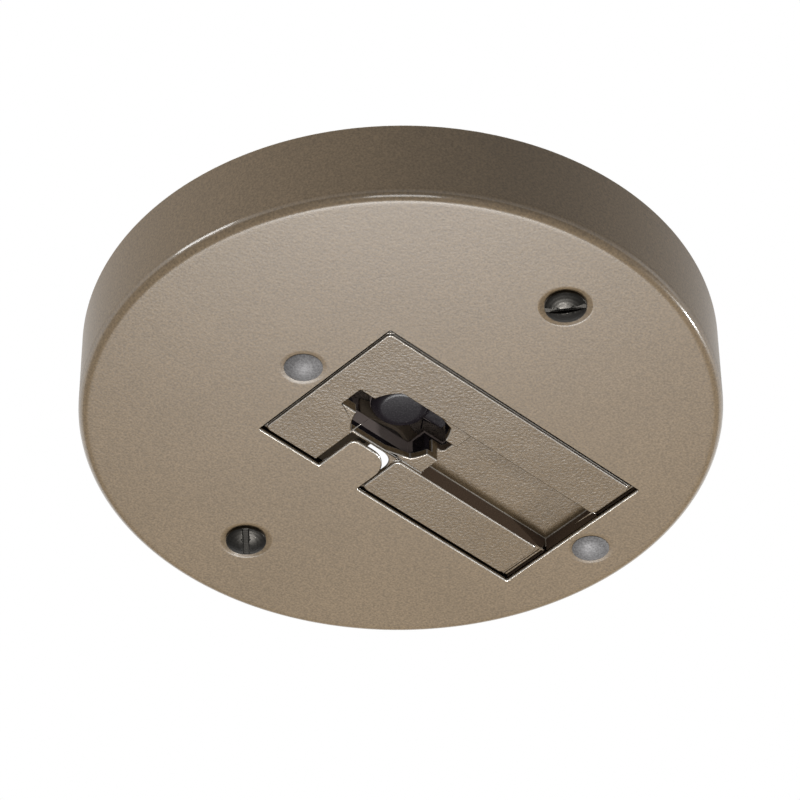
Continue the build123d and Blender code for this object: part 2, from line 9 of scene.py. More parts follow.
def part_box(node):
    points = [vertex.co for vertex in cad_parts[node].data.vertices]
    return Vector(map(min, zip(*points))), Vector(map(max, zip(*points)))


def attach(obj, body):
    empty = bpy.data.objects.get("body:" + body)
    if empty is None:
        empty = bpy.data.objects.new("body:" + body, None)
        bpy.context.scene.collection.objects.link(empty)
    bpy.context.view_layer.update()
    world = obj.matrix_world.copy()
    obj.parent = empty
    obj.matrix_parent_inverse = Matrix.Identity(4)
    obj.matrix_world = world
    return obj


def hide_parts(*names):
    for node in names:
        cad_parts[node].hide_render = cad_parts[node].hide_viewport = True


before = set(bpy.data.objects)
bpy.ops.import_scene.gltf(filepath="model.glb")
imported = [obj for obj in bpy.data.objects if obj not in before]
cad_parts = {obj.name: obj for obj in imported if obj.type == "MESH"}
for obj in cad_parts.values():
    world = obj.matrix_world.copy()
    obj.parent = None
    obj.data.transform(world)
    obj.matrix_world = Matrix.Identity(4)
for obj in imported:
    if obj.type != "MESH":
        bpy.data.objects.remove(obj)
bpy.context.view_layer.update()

bl_info = {
    "name": "Ceiling Canopy Looks",
    "version": (1, 0, 0),
    "blender": (4, 5, 0),
    "location": "3D View > Sidebar > Canopy",
    "description": "Dresses a plug-in spotlight's ceiling canopy and sets its stage",
    "category": "Object",
}

SHELL_LOW, SHELL_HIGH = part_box("canopy")
FACE_Z = SHELL_LOW.z
BODY = "root"
DOWN = (0, 0, -1)

# Nearly all of a noise lies between these
NOISE_LOW, NOISE_HIGH = 0.3, 0.7

# Paint: sizes of its patterns and depth of its grain in metres, and its gloss
GRAIN_SIZE, GRAIN_DEPTH = 0.00045, 0.000008
CLOUD_SIZE = 0.018
DENT_SIZE = 0.011
SATIN_ROUGHNESS, MATT_ROUGHNESS = 0.31, 0.55
SATIN_SPECULAR = 0.38

# Edges with a painted highlight, partly wear: the side that the painted highlight faces, the size
# of the wear patches, and how deep the painted highlight stays bright
HIGHLIT_SIDE = (-0.69, -0.72, 0)
WEAR_SIZE = 0.0025
BRIGHT_TO, DULL_FROM = FACE_Z + 0.0005, FACE_Z + 0.0015

# Shell: plain sheet beside its rounded edge and its dimples, and facets of its curves
EDGE_BAND = 0.0006
DIMPLE_BAND = 0.0004
EDGE_STEPS = 12
DIMPLE_SEGMENTS = 72
DENT_SEGMENTS = 64

# Rings of a dimple: share of its slope beyond the floor, and share of its depth
DIMPLE_RINGS = ((1.12, 0.0), (0.92, 0.07), (0.08, 0.93), (-0.12, 1.0))

# Rings of the dent round a rivet: share of the head's radius, and share of the dent's depth
DENT_REACH = 1.27
DENT_RINGS = ((1.22, 0.0), (1.14, 0.15), (1.03, 0.85), (0.95, 1.0))
SHANK_CLEARANCE = 0.00005

# Rivets: facets of the dome and round the shank, and radius, angle and facets of their rounding
DOME_STEPS = 14
SPIN_STEPS = 72
RIVET_ROUNDING = (0.0001, 50.0, 2)

# Depths from the face where the cradle's painted shade begins, in its groove and on its trench
# walls, and margins
GROOVE_TOP = 0.00008
GROOVE_MARGIN = 0.0002
WALL_TOP = 0.0003
TRENCH_MARGIN = 0.0001

# Painted light inside the contact block, a pale brown that stands in for fill light, by two
# corners: its hollow, and the bay before it
HOLLOW_PAINTED_LIGHT = (
    ((-0.0132, -0.0126, FACE_Z + 0.0068), (0.0187, 0.0137, FACE_Z + 0.0176)),
    ((-0.0132, 0.0068, FACE_Z + 0.0041), (0.0187, 0.0137, FACE_Z + 0.0068)),
)

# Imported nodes: how near vertices are welded, and how flat a joined area is, in degrees
WELD = 0.000002
NEARLY_FLAT = 0.4

# Lamps: name, place, size and the setting that holds its power
LAMPS = (
    ("key_lamp", (0.23, 0.24, -0.64), 0.24, "key_power"),
    ("front_lamp", (-0.36, -0.4, -0.62), 0.24, "front_power"),
    ("side_lamp", (0.59, -0.33, -0.257), 0.05, "side_power"),
    ("left_lamp", (-0.67, 0.16, 0.13), 0.24, "left_power"),
    ("right_lamp", (0.44, -0.52, 0.13), 0.24, "right_power"),
)
DAYLIGHT_ANGLE = 60.0

# Camera's sensor in mm, and the nearest and farthest that it sees
SENSOR_WIDTH = 36.0
NEAREST, FARTHEST = 0.01, 20.0

# Floor: half its width, and its two tints of paper
FLOOR_REACH = 6.0
FLOOR_TINTS = (0.78, 0.78, 0.77), (0.82, 0.82, 0.81)


def length(name, description, default):
    """A length property in metres."""
    return FloatProperty(
        name=name, description=description, default=default, unit="LENGTH", precision=5
    )


def colour(name, description, default):
    """A linear colour property."""
    return FloatVectorProperty(
        name=name, description=description, default=default, subtype="COLOR", min=0, max=1, size=3
    )


class ShellSettings(bpy.types.PropertyGroup):
    """Sizes and paint of the drawn canopy shell."""

    diameter: length("Diameter", "Across the shell's rim", SHELL_HIGH.x - SHELL_LOW.x)
    height: length("Height", "From the rim to the face", SHELL_HIGH.z - SHELL_LOW.z)
    sheet: length("Sheet", "Thickness of the sheet", 0.0008)
    edge_radius: length("Edge radius", "Outer radius between face and wall", 0.002)
    cutout_length: length("Cut-out length", "Along X", 0.0679)
    cutout_width: length("Cut-out width", "Along Y", 0.0378)
    cutout_x: length("Cut-out place on X", "The cut-out's middle on X", 0.01385)
    cutout_y: length("Cut-out place on Y", "The cut-out's middle on Y", 0.0004)
    tongue_width: length("Tongue width", "Along X", 0.01035)
    tongue_x: length("Tongue place", "The tongue's middle on X", 0.00085)
    tongue_length: length("Tongue length", "From the cut-out's edge to the tip", 0.0103)
    tongue_near_radius: length("Tongue near radius", "Corner towards -X", 0.0014)
    tongue_far_radius: length("Tongue far radius", "Corner towards +X", 0.005)
    screw_spacing: length("Screw spacing", "Between the two screws", 0.09208)
    screw_hole_radius: length("Screw hole radius", "Clearance hole", 0.0024)
    dimple_radius: length("Dimple radius", "At the face", 0.0052)
    dimple_floor_radius: length("Dimple floor radius", "Flat under the screw head", 0.0042)
    dimple_depth: length("Dimple depth", "From the face into the shell", 0.0005)
    cut_edge_radius: length("Cut edge radius", "Rounding of the punched edges", 0.00025)
    rivet_dent: length("Rivet dent", "How far the sheet is drawn in round a rivet", 0.0001)
    segments: IntProperty(name="Segments", description="Round the rim", default=288, min=32)
    paint: colour("Paint", "Base colour of the paint", (0.189, 0.137, 0.083))
    # Painted highlight, partly wear: a pale colour on the rounded edges that face the camera's
    # side
    edge_wear_and_highlight: colour("Edge paint", "Paint worn thin on the edges", (0.95, 0.92, 0.86))


class CradleSettings(bpy.types.PropertyGroup):
    """Edges and paint of the cast adapter cradle."""

    edge_radius: length("Edge radius", "Rounding of the casting's edges", 0.00022)
    paint: colour("Paint", "Base colour of the painted casting", (0.148, 0.105, 0.06))
    # Painted highlight, partly wear: a pale colour on the rounded edges that face the camera's
    # side
    edge_wear_and_highlight: colour("Edge paint", "Paint worn thin on the edges", (0.9, 0.86, 0.8))
    edge_gap: length("Edge gap", "Groove between the casting and the cut-out", 0.0006)
    groove_depth: length("Groove depth", "From the face to the groove's floor", 0.0019)
    # Painted shade: the near black of the groove stands in for the shade in the gap between the
    # casting and the cut-out
    groove_painted_shade: colour("Groove shade", "Unpainted metal in the groove", (0.006, 0.0042, 0.0028))
    trench_start_x: length("Trench start", "Where the trench's walls begin on X", 0.0129)
    # Painted shade: the darker colour of the trench's upright walls stands in for the shade on
    # them
    trench_wall_painted_shade: colour("Wall shade", "Thin paint on the trench's walls", (0.115, 0.081, 0.058))


class FastenerSettings(bpy.types.PropertyGroup):
    """Rivets and screws that show on the face."""

    rivet_spacing: length("Rivet spacing", "Between the two rivets", 0.0788)
    rivet_x: length("Rivet place", "Middle of the pair on X", 0.01385)
    rivet_radius: length("Rivet radius", "Shank", 0.002)
    rivet_head_radius: length("Rivet head radius", "Dome at the face", 0.00385)
    rivet_head_height: length("Rivet head height", "Dome above the face", 0.0012)
    rivet_grip: length("Rivet grip", "Sheet and flange together", 0.0024)
    rivet_tail_radius: length("Rivet tail radius", "Rolled end behind the flange", 0.0031)
    rivet_tail_height: length("Rivet tail height", "Rolled end behind the flange", 0.0009)
    rivet_tail_land_radius: length("Rivet tail land radius", "Flat of the rolled end", 0.0025)
    rivet_dimple_radius: length("Rivet dimple radius", "Hollow in the rolled end", 0.0012)
    rivet_dimple_depth: length("Rivet dimple depth", "Hollow in the rolled end", 0.0006)
    rivet_metal: colour("Rivet metal", "Dull aluminium", (0.185, 0.18, 0.18))
    screw_metal: colour("Screw metal", "Darkened steel", (0.032, 0.03, 0.027))
    screw_edge_radius: length("Screw edge radius", "Rounding of head and slot", 0.00015)


class InsideSettings(bpy.types.PropertyGroup):
    """Finishes of the parts behind the face."""

    moulding: colour("Moulding", "Glossy black contact block", (0.013, 0.0105, 0.013))
    # Painted light: a pale brown on the walls inside the black block, standing in for fill light
    cavity_painted_light: colour("Cavity walls", "Dusty walls round the contacts", (0.27, 0.225, 0.21))
    cover: colour("Cover", "Moulded cover", (0.02, 0.019, 0.019))
    fibre: colour("Fibre", "Insulating sheet", (0.23, 0.185, 0.155))
    strip: colour("Contact strip", "Darkened phosphor bronze", (0.34, 0.27, 0.2))
    brass: colour("Brass", "Line screw", (0.6, 0.42, 0.16))
    nickel: colour("Nickel", "Neutral screw", (0.55, 0.54, 0.51))
    green: colour("Green", "Earth screws", (0.02, 0.16, 0.05))
    zinc: colour("Zinc", "Plated screws", (0.55, 0.56, 0.57))
    crossbar: colour("Crossbar", "Galvanised strip", (0.5, 0.51, 0.52))
    edge_radius: length("Edge radius", "Rounding of small edges", 0.00015)


class StageSettings(bpy.types.PropertyGroup):
    """Camera, lamps and floor."""

    camera_place: FloatVectorProperty(
        name="Camera place", description="Where the camera stands", subtype="TRANSLATION",
        default=(-0.4059, -0.4277, -0.5642), size=3, precision=5,
    )
    camera_roll: FloatProperty(
        name="Camera roll", description="Turn about the line of sight", subtype="ANGLE",
        default=math.radians(-0.61), precision=4,
    )
    lens: FloatProperty(
        name="Lens", description="Focal length on a 36 mm sensor", unit="CAMERA", default=183.46
    )
    shift_x: FloatProperty(name="Shift X", description="Lens shift", default=-0.00125, precision=5)
    shift_y: FloatProperty(name="Shift Y", description="Lens shift", default=0.034, precision=5)
    floor_drop: length("Floor drop", "How far the floor lies below the ceiling plane", 1.4)
    key_power: FloatProperty(
        name="Key power", description="Watts of the lamp under the canopy", default=4.25, min=0
    )
    front_power: FloatProperty(
        name="Front power", description="Watts of the lamp near the camera", default=1.0, min=0
    )
    side_power: FloatProperty(
        name="Side power", description="Watts of the low lamp on the right", default=1.8, min=0
    )
    left_power: FloatProperty(
        name="Left power", description="Watts of the lamp beside the left wall", default=2.4, min=0
    )
    right_power: FloatProperty(
        name="Right power", description="Watts of the lamp beside the right wall", default=0.12,
        min=0,
    )
    top_strength: FloatProperty(
        name="Top strength", description="Soft daylight from above, for the floor and the back",
        default=0.75, min=0,
    )
    fill: FloatProperty(
        name="Fill", description="Strength of the soft light from all round", default=0.045, min=0
    )


class CanopySettings(bpy.types.PropertyGroup):
    """All settings of the ceiling canopy."""

    shell: PointerProperty(type=ShellSettings)
    cradle: PointerProperty(type=CradleSettings)
    fasteners: PointerProperty(type=FastenerSettings)
    inside: PointerProperty(type=InsideSettings)
    stage: PointerProperty(type=StageSettings)


# Finishes


def node(tree, kind, inputs=None, **options):
    """Add a shader node; an input given as a socket is linked, anything else is its value."""
    made = tree.nodes.new("ShaderNode" + kind)
    for key, value in options.items():
        setattr(made, key, value)
    for key, value in (inputs or {}).items():
        if isinstance(value, bpy.types.NodeSocket):
            tree.links.new(value, made.inputs[key])
        else:
            made.inputs[key].default_value = value
    return made


def new_tree(name):
    """An empty node material and its object coordinates."""
    material = bpy.data.materials.new(name)
    material.use_nodes = True
    tree = material.node_tree
    tree.nodes.clear()
    return material, tree, node(tree, "TexCoord").outputs["Object"]


def noise(tree, where, size, detail=2.0, roughness=0.5):
    """Noise whose lumps are about size metres across."""
    return node(
        tree, "TexNoise",
        {"Vector": where, "Scale": 1 / size, "Detail": detail, "Roughness": roughness},
    ).outputs["Fac"]


def spread(tree, value, low, high, to_low, to_high):
    """Map a value from one range to another, clamped."""
    return node(
        tree, "MapRange",
        {"Value": value, "From Min": low, "From Max": high, "To Min": to_low, "To Max": to_high},
    ).outputs["Result"]


def calculated(tree, operation, *values, **options):
    """The result of a Math node."""
    return node(tree, "Math", dict(enumerate(values)), operation=operation, **options).outputs[0]


def blend(tree, share, first, second):
    """A colour between two, each of them a tint or what another node gives."""
    ends = [
        end if isinstance(end, bpy.types.NodeSocket) else (*end, 1) for end in (first, second)
    ]
    return node(
        tree, "Mix", {"Factor": share, "A": ends[0], "B": ends[1]}, data_type="RGBA"
    ).outputs["Result"]


def scaled(base, by):
    """A colour made darker or lighter."""
    return tuple(min(1.0, channel * by) for channel in base)


def bump(tree, height, depth, after=None):
    """Relief of a given depth in metres, on top of another relief."""
    inputs = {"Height": height, "Distance": depth, "Strength": 1.0}
    if after is not None:
        inputs["Normal"] = after
    return node(tree, "Bump", inputs).outputs["Normal"]


def facing(tree, direction):
    """How far the surface faces a fixed direction."""
    normal = node(tree, "NewGeometry").outputs["Normal"]
    return node(
        tree, "VectorMath", {0: normal, 1: direction}, operation="DOT_PRODUCT"
    ).outputs["Value"]


def inside_box(tree, where, low, high):
    """1 inside a box given by its corners, 0 outside."""
    parts = node(tree, "SeparateXYZ", {"Vector": where})
    share = None
    for axis, start, end in zip("XYZ", low, high):
        middle, reach = (start + end) / 2, (end - start) / 2
        hit = calculated(tree, "COMPARE", parts.outputs[axis], middle, reach)
        share = hit if share is None else calculated(tree, "MULTIPLY", share, hit)
    return share


def surface(tree, inputs):
    """The principled shader and the output."""
    shader = node(tree, "BsdfPrincipled", inputs)
    node(tree, "OutputMaterial", {"Surface": shader.outputs["BSDF"]})


def paint(name, base, peel_size, peel_depth, dent_depth, painted_shades=(), rim_gloss=0.0):
    """Satin paint with fine grain, orange peel and soft dents, and painted shade, a darker colour
    without gloss, in the given boxes.
    """
    material, tree, where = new_tree(name)
    grain = noise(tree, where, GRAIN_SIZE, 3, 0.6)
    cloud = noise(tree, where, CLOUD_SIZE, 2)
    peel = noise(tree, where, peel_size, 2, 0.45)
    dents = noise(tree, where, DENT_SIZE, 1, 0.4)
    relief = bump(tree, dents, dent_depth)
    relief = bump(tree, peel, peel_depth, relief)
    relief = bump(tree, grain, GRAIN_DEPTH, relief)
    specks = spread(tree, grain, NOISE_LOW, NOISE_HIGH, 0, 1)
    tint = blend(tree, specks, scaled(base, 0.7), scaled(base, 1.3))
    shade = spread(tree, cloud, NOISE_LOW, NOISE_HIGH, 0.97, 1.03)
    tint = node(tree, "VectorMath", {0: tint, "Scale": shade}, operation="SCALE").outputs[0]
    downwards = facing(tree, DOWN)
    gloss = spread(tree, downwards, 0.1, 0.5, 0.3, 1)
    # Painted shade: inside each box the colour darkens and the gloss goes
    for low, high, upright_only, dark in painted_shades:
        share = inside_box(tree, where, low, high)
        if upright_only:
            upright = calculated(tree, "LESS_THAN", calculated(tree, "ABSOLUTE", downwards), 0.5)
            share = calculated(tree, "MULTIPLY", share, upright)
        tint = blend(tree, share, tint, dark)
        gloss = calculated(tree, "MULTIPLY", gloss, spread(tree, share, 0, 1, 1, 0))
    finish = {
        "Base Color": tint,
        "Roughness": spread(tree, gloss, 0.3, 1, MATT_ROUGHNESS, SATIN_ROUGHNESS),
        "Specular IOR Level": spread(tree, gloss, 0, 1, 0, SATIN_SPECULAR),
        "Normal": relief,
    }
    if rim_gloss:
        rolled = spread(tree, downwards, 0.97, 0.85, 0, rim_gloss)
        finish["Coat Weight"] = calculated(tree, "MULTIPLY", rolled, gloss)
        finish["Coat Roughness"] = 0.1
    surface(tree, finish)
    return material


def edge_finish(name, base, worn_and_highlit, painted_shade_colour, grooves=(), dark=(0, 0, 0)):
    """Narrow rounded edges: painted highlight, partly wear, where they face one way, painted shade
    on the other side and in grooves.
    """
    material, tree, where = new_tree(name)
    # Painted highlight, partly wear: pale patches on the edges that face the camera's side, weaker
    # in deeper places
    wear = spread(tree, noise(tree, where, WEAR_SIZE, 4, 0.65), 0.3, 0.55, 0.5, 1)
    towards = facing(tree, HIGHLIT_SIDE)
    side = spread(tree, towards, 0.0, 0.3, 0, 1)
    height = node(tree, "SeparateXYZ", {"Vector": where}).outputs["Z"]
    deep = spread(tree, height, BRIGHT_TO, DULL_FROM, 1, 0.4)
    share = calculated(tree, "MULTIPLY", calculated(tree, "MULTIPLY", wear, side), deep)
    # Painted shade: edges facing the other way get a near-black colour and no gloss
    shade_share = spread(tree, towards, 0.05, -0.12, 0, 1)
    tint = blend(tree, shade_share, blend(tree, share, base, worn_and_highlit), painted_shade_colour)
    # Painted shade in the grooves: a dark colour and no gloss
    for low, high in grooves:
        groove = inside_box(tree, where, low, high)
        tint = blend(tree, groove, tint, dark)
        shade_share = calculated(tree, "MAXIMUM", shade_share, groove)
    surface(tree, {
        "Base Color": tint,
        "Metallic": calculated(tree, "SUBTRACT", share, shade_share, use_clamp=True),
        "Roughness": 0.26,
        "Specular IOR Level": spread(tree, shade_share, 0, 1, SATIN_SPECULAR, 0),
    })
    return material


def metal(name, base, roughness, metallic=1.0, speckle=0.02):
    """Plain metal with fine grain and slow stains."""
    material, tree, where = new_tree(name)
    grain = noise(tree, where, 0.0004, 3, 0.6)
    stain = noise(tree, where, 0.006, 4, 0.6)
    specks = spread(tree, grain, NOISE_LOW, NOISE_HIGH, 1 - speckle, 1 + speckle)
    tint = blend(tree, stain, scaled(base, 0.85), scaled(base, 1.12))
    tint = node(tree, "VectorMath", {0: tint, "Scale": specks}, operation="SCALE").outputs[0]
    surface(tree, {
        "Base Color": tint,
        "Metallic": metallic,
        "Roughness": spread(
            tree, stain, NOISE_LOW, NOISE_HIGH, roughness - 0.05, roughness + 0.07
        ),
        "Normal": bump(tree, grain, 0.000006 + 0.00006 * speckle),
    })
    return material


def turned_steel(name, base, spacing):
    """Darkened steel with the rings of turning round each of two screws on Y."""
    material, tree, where = new_tree(name)
    parts = node(tree, "SeparateXYZ", {"Vector": where})
    y = calculated(tree, "ABSOLUTE", parts.outputs["Y"])
    y = calculated(tree, "SUBTRACT", y, spacing / 2)
    flat = node(tree, "CombineXYZ", {"X": parts.outputs["X"], "Y": y})
    radius = node(tree, "VectorMath", {0: flat.outputs["Vector"]}, operation="LENGTH")
    wobble = noise(tree, where, 0.0009, 2)
    turns_per_metre = 9000.0
    turns = calculated(tree, "MULTIPLY", radius.outputs["Value"], turns_per_metre)
    rings = calculated(tree, "SINE", calculated(tree, "ADD", turns, wobble))
    scuff = noise(tree, where, 0.0007, 5, 0.7)
    relief = bump(tree, rings, 0.000003)
    relief = bump(tree, scuff, 0.000012, relief)
    surface(tree, {
        "Base Color": blend(
            tree, spread(tree, scuff, 0.56, 0.72, 0, 1), base, scaled(base, 2.4)
        ),
        "Metallic": 1.0,
        "Roughness": spread(tree, scuff, NOISE_LOW, NOISE_HIGH, 0.42, 0.25),
        "Normal": relief,
    })
    return material


def galvanised(name, base):
    """Zinc-coated strip with spangle."""
    material, tree, where = new_tree(name)
    cells = node(tree, "TexVoronoi", {"Vector": where, "Scale": 260.0, "Randomness": 1.0})
    spangle = node(tree, "SeparateColor", {"Color": cells.outputs["Color"]}).outputs[0]
    grain = noise(tree, where, 0.0002, 3, 0.6)
    surface(tree, {
        "Base Color": blend(tree, spangle, scaled(base, 0.82), scaled(base, 1.1)),
        "Metallic": 1.0,
        "Roughness": spread(tree, spangle, 0, 1, 0.32, 0.46),
        "Normal": bump(tree, grain, 0.000008),
    })
    return material


def moulded(name, base, roughness, peel_depth, painted_light_boxes=(), painted_light_colour=(0, 0, 0)):
    """Moulded plastic with a faint uneven skin, and painted light, a paler colour, inside the
    given boxes.
    """
    material, tree, where = new_tree(name)
    peel = noise(tree, where, 0.0016, 2)
    dust = noise(tree, where, 0.00035, 4, 0.7)
    tint = blend(tree, spread(tree, dust, 0.6, 0.75, 0, 1), base, scaled(base, 2.2))
    # Painted light: a paler colour inside each box
    for low, high in painted_light_boxes:
        tint = blend(tree, inside_box(tree, where, low, high), tint, painted_light_colour)
    surface(tree, {
        "Base Color": tint,
        "Specular IOR Level": 0.16,
        "Roughness": spread(tree, dust, 0.4, 0.75, roughness, roughness + 0.15),
        "Normal": bump(tree, peel, peel_depth),
    })
    return material


def fibre_board(name, base):
    """Rough speckled fibre sheet."""
    material, tree, where = new_tree(name)
    lumps = noise(tree, where, 0.0008, 6, 0.75)
    specks = noise(tree, where, 0.00028, 3, 0.7)
    relief = bump(tree, lumps, 0.0002)
    surface(tree, {
        "Base Color": blend(
            tree, spread(tree, specks, 0.42, 0.66, 0, 1), scaled(base, 0.35), scaled(base, 1.7)
        ),
        "Roughness": 0.8,
        "Normal": bump(tree, specks, 0.00008, relief),
    })
    return material


# Pieces


def finish_piece(name, mesh, material, nodes, cuts=None, edge_material=None):
    """Make a finished object of a mesh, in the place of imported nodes."""
    mesh.polygons.foreach_set("use_smooth", [True] * len(mesh.polygons))
    mesh.polygons.foreach_set("material_index", [0] * len(mesh.polygons))
    mesh.materials.clear()
    mesh.materials.append(material)
    if edge_material:
        mesh.materials.append(edge_material)
    piece = bpy.data.objects.new(name, mesh)
    bpy.context.scene.collection.objects.link(piece)
    if cuts:
        round_edges(piece, *cuts)
    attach(piece, BODY)
    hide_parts(*nodes)
    return piece


def round_edges(piece, radius, angle=38.0, segments=3):
    """Round every edge that turns by more than the angle."""
    rounding = piece.modifiers.new("rounded_edges", "BEVEL")
    rounding.width = radius
    rounding.segments = segments
    rounding.limit_method = "ANGLE"
    rounding.angle_limit = math.radians(angle)
    rounding.use_clamp_overlap = False
    rounding.loop_slide = False
    rounding.harden_normals = True
    rounding.miter_outer = "MITER_ARC"
    if len(piece.data.materials) > 1:
        rounding.material = 1


def welded(node_name):
    """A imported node's mesh, copied, welded and with its flat areas joined."""
    skin = bmesh.new()
    skin.from_mesh(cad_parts[node_name].data)
    bmesh.ops.remove_doubles(skin, verts=skin.verts, dist=WELD)
    bmesh.ops.dissolve_limit(
        skin, angle_limit=math.radians(NEARLY_FLAT), use_dissolve_boundaries=False,
        verts=skin.verts, edges=skin.edges, delimit=set(),
    )
    bmesh.ops.triangulate(skin, faces=skin.faces, quad_method="BEAUTY", ngon_method="BEAUTY")
    mesh = bpy.data.meshes.new(node_name + "_dressed")
    skin.to_mesh(mesh)
    skin.free()
    for extra in ("custom_normal", "sharp_face", "sharp_edge"):
        if extra in mesh.attributes:
            mesh.attributes.remove(mesh.attributes[extra])
    return mesh


def dress(node_name, material, radius, angle=38.0, segments=2, edge_material=None):
    """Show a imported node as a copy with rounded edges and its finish."""
    return finish_piece(
        node_name + "_dressed", welded(node_name), material, [node_name],
        (radius, angle, segments), edge_material,
    )


def only(geometry, kind):
    """The vertices or edges in an operator's result."""
    return [item for item in geometry if isinstance(item, kind)]


def ring_on(skin, edges, centre, radius, z):
    """Extrude a ring of edges to another radius and height about a centre."""
    made = bmesh.ops.extrude_edge_only(skin, edges=edges)["geom"]
    verts = only(made, bmesh.types.BMVert)
    before = (verts[0].co.xy - Vector(centre)).length
    bmesh.ops.scale(
        skin, vec=(radius / before, radius / before, 1), verts=verts,
        space=Matrix.Translation((-centre[0], -centre[1], 0)),
    )
    bmesh.ops.translate(skin, vec=(0, 0, z - verts[0].co.z), verts=verts)
    return only(made, bmesh.types.BMEdge)


def circle(skin, centre, radius, z, segments):
    """A ring of edges."""
    made = bmesh.ops.create_circle(
        skin, radius=radius, segments=segments, matrix=Matrix.Translation((*centre, z))
    )
    return list({edge for vert in made["verts"] for edge in vert.link_edges})


def cutout_sides(shell):
    """The cut-out's left, right, front and back."""
    return (
        shell.cutout_x - shell.cutout_length / 2, shell.cutout_x + shell.cutout_length / 2,
        shell.cutout_y - shell.cutout_width / 2, shell.cutout_y + shell.cutout_width / 2,
    )


def cutout_outline(skin, shell):
    """The cut-out's outline in the face, with the tongue that stands in it."""
    left, right, front, back = cutout_sides(shell)
    tip = back - shell.tongue_length
    near = shell.tongue_x - shell.tongue_width / 2
    far = shell.tongue_x + shell.tongue_width / 2
    corners = [
        skin.verts.new((x, y, FACE_Z))
        for x, y in (
            (left, front), (right, front), (right, back), (far, back),
            (far, tip), (near, tip), (near, back), (left, back),
        )
    ]
    for start, end in zip(corners, corners[1:] + corners[:1]):
        skin.edges.new((start, end))
    far_corner, near_corner = corners[4], corners[5]
    for corner, radius in (
        (far_corner, shell.tongue_far_radius), (near_corner, shell.tongue_near_radius),
    ):
        bmesh.ops.bevel(
            skin, geom=[corner], offset=radius, offset_type="OFFSET", segments=12, profile=0.5,
            affect="VERTICES", material=-1,
        )
    return skin.edges[:]


class CANOPY_OT_shell(bpy.types.Operator):
    """Model the drawn shell: face, cut-out, dimples, rounded edge and wall"""

    bl_idname = "canopy.shell"
    bl_label = "Shell"

    def execute(self, context):
        shell = context.scene.canopy.shell
        rivets = context.scene.canopy.fasteners
        rim = shell.diameter / 2
        centre = (0.0, 0.0)
        skin = bmesh.new()
        face_edges = cutout_outline(skin, shell)
        flat = rim - shell.edge_radius
        outer = circle(skin, centre, flat - EDGE_BAND, FACE_Z, shell.segments)
        face_edges += outer

        slope = shell.dimple_radius - shell.dimple_floor_radius
        dimple = [
            (shell.dimple_floor_radius + out * slope, down * shell.dimple_depth)
            for out, down in DIMPLE_RINGS
        ]
        dimple.append((shell.screw_hole_radius, shell.dimple_depth))
        head = rivets.rivet_head_radius
        dent = [(out * head, down * shell.rivet_dent) for out, down in DENT_RINGS]
        dent.append((rivets.rivet_radius + SHANK_CLEARANCE, shell.rivet_dent))
        hollows = []
        for side in (-1, 1):
            place = (0.0, side * shell.screw_spacing / 2)
            start = shell.dimple_radius + DIMPLE_BAND
            ring = circle(skin, place, start, FACE_Z, DIMPLE_SEGMENTS)
            face_edges += ring
            hollows.append((place, ring, dimple))
        for side in (-1, 1):
            place = (rivets.rivet_x + side * rivets.rivet_spacing / 2, shell.cutout_y)
            ring = circle(skin, place, DENT_REACH * head, FACE_Z, DENT_SEGMENTS)
            face_edges += ring
            hollows.append((place, ring, dent))

        bmesh.ops.triangle_fill(
            skin, use_beauty=True, use_dissolve=False, edges=face_edges, normal=DOWN
        )
        bmesh.ops.dissolve_limit(
            skin, angle_limit=math.radians(0.1), use_dissolve_boundaries=False,
            verts=[], edges=skin.edges, delimit=set(),
        )
        bmesh.ops.triangulate(skin, faces=skin.faces, quad_method="BEAUTY", ngon_method="BEAUTY")
        for place, ring, rings in hollows:
            for radius, depth in rings:
                ring = ring_on(skin, ring, place, radius, FACE_Z + depth)
        ring = ring_on(skin, outer, centre, flat, FACE_Z)
        for step in range(1, EDGE_STEPS + 1):
            turn = math.pi / 2 * step / EDGE_STEPS
            ring = ring_on(
                skin, ring, centre, rim - shell.edge_radius * (1 - math.sin(turn)),
                FACE_Z + shell.edge_radius * (1 - math.cos(turn)),
            )
        ring = ring_on(skin, ring, centre, rim, FACE_Z + shell.edge_radius + EDGE_BAND)
        ring_on(skin, ring, centre, rim, FACE_Z + shell.height)
        bmesh.ops.recalc_face_normals(skin, faces=skin.faces)
        if sum(face.normal.z * face.calc_area() for face in skin.faces) > 0:
            bmesh.ops.reverse_faces(skin, faces=skin.faces)
        mesh = bpy.data.meshes.new("canopy_shell")
        skin.to_mesh(mesh)
        skin.free()
        piece = finish_piece(
            "canopy_shell", mesh,
            paint(
                "canopy_paint", shell.paint, peel_size=0.0006, peel_depth=0.000014,
                dent_depth=0.000015, rim_gloss=1.0,
            ),
            ["canopy"],
            # Edge finish: painted highlight, partly wear, on the edges towards the camera's side;
            # painted shade, the paint at 3 %, on the others
            edge_material=edge_finish(
                "canopy_edges", shell.paint, shell.edge_wear_and_highlight, scaled(shell.paint, 0.03)
            ),
        )
        wall = piece.modifiers.new("sheet_thickness", "SOLIDIFY")
        wall.thickness = shell.sheet
        wall.offset = -1
        wall.use_even_offset = True
        round_edges(piece, shell.cut_edge_radius)
        return {"FINISHED"}


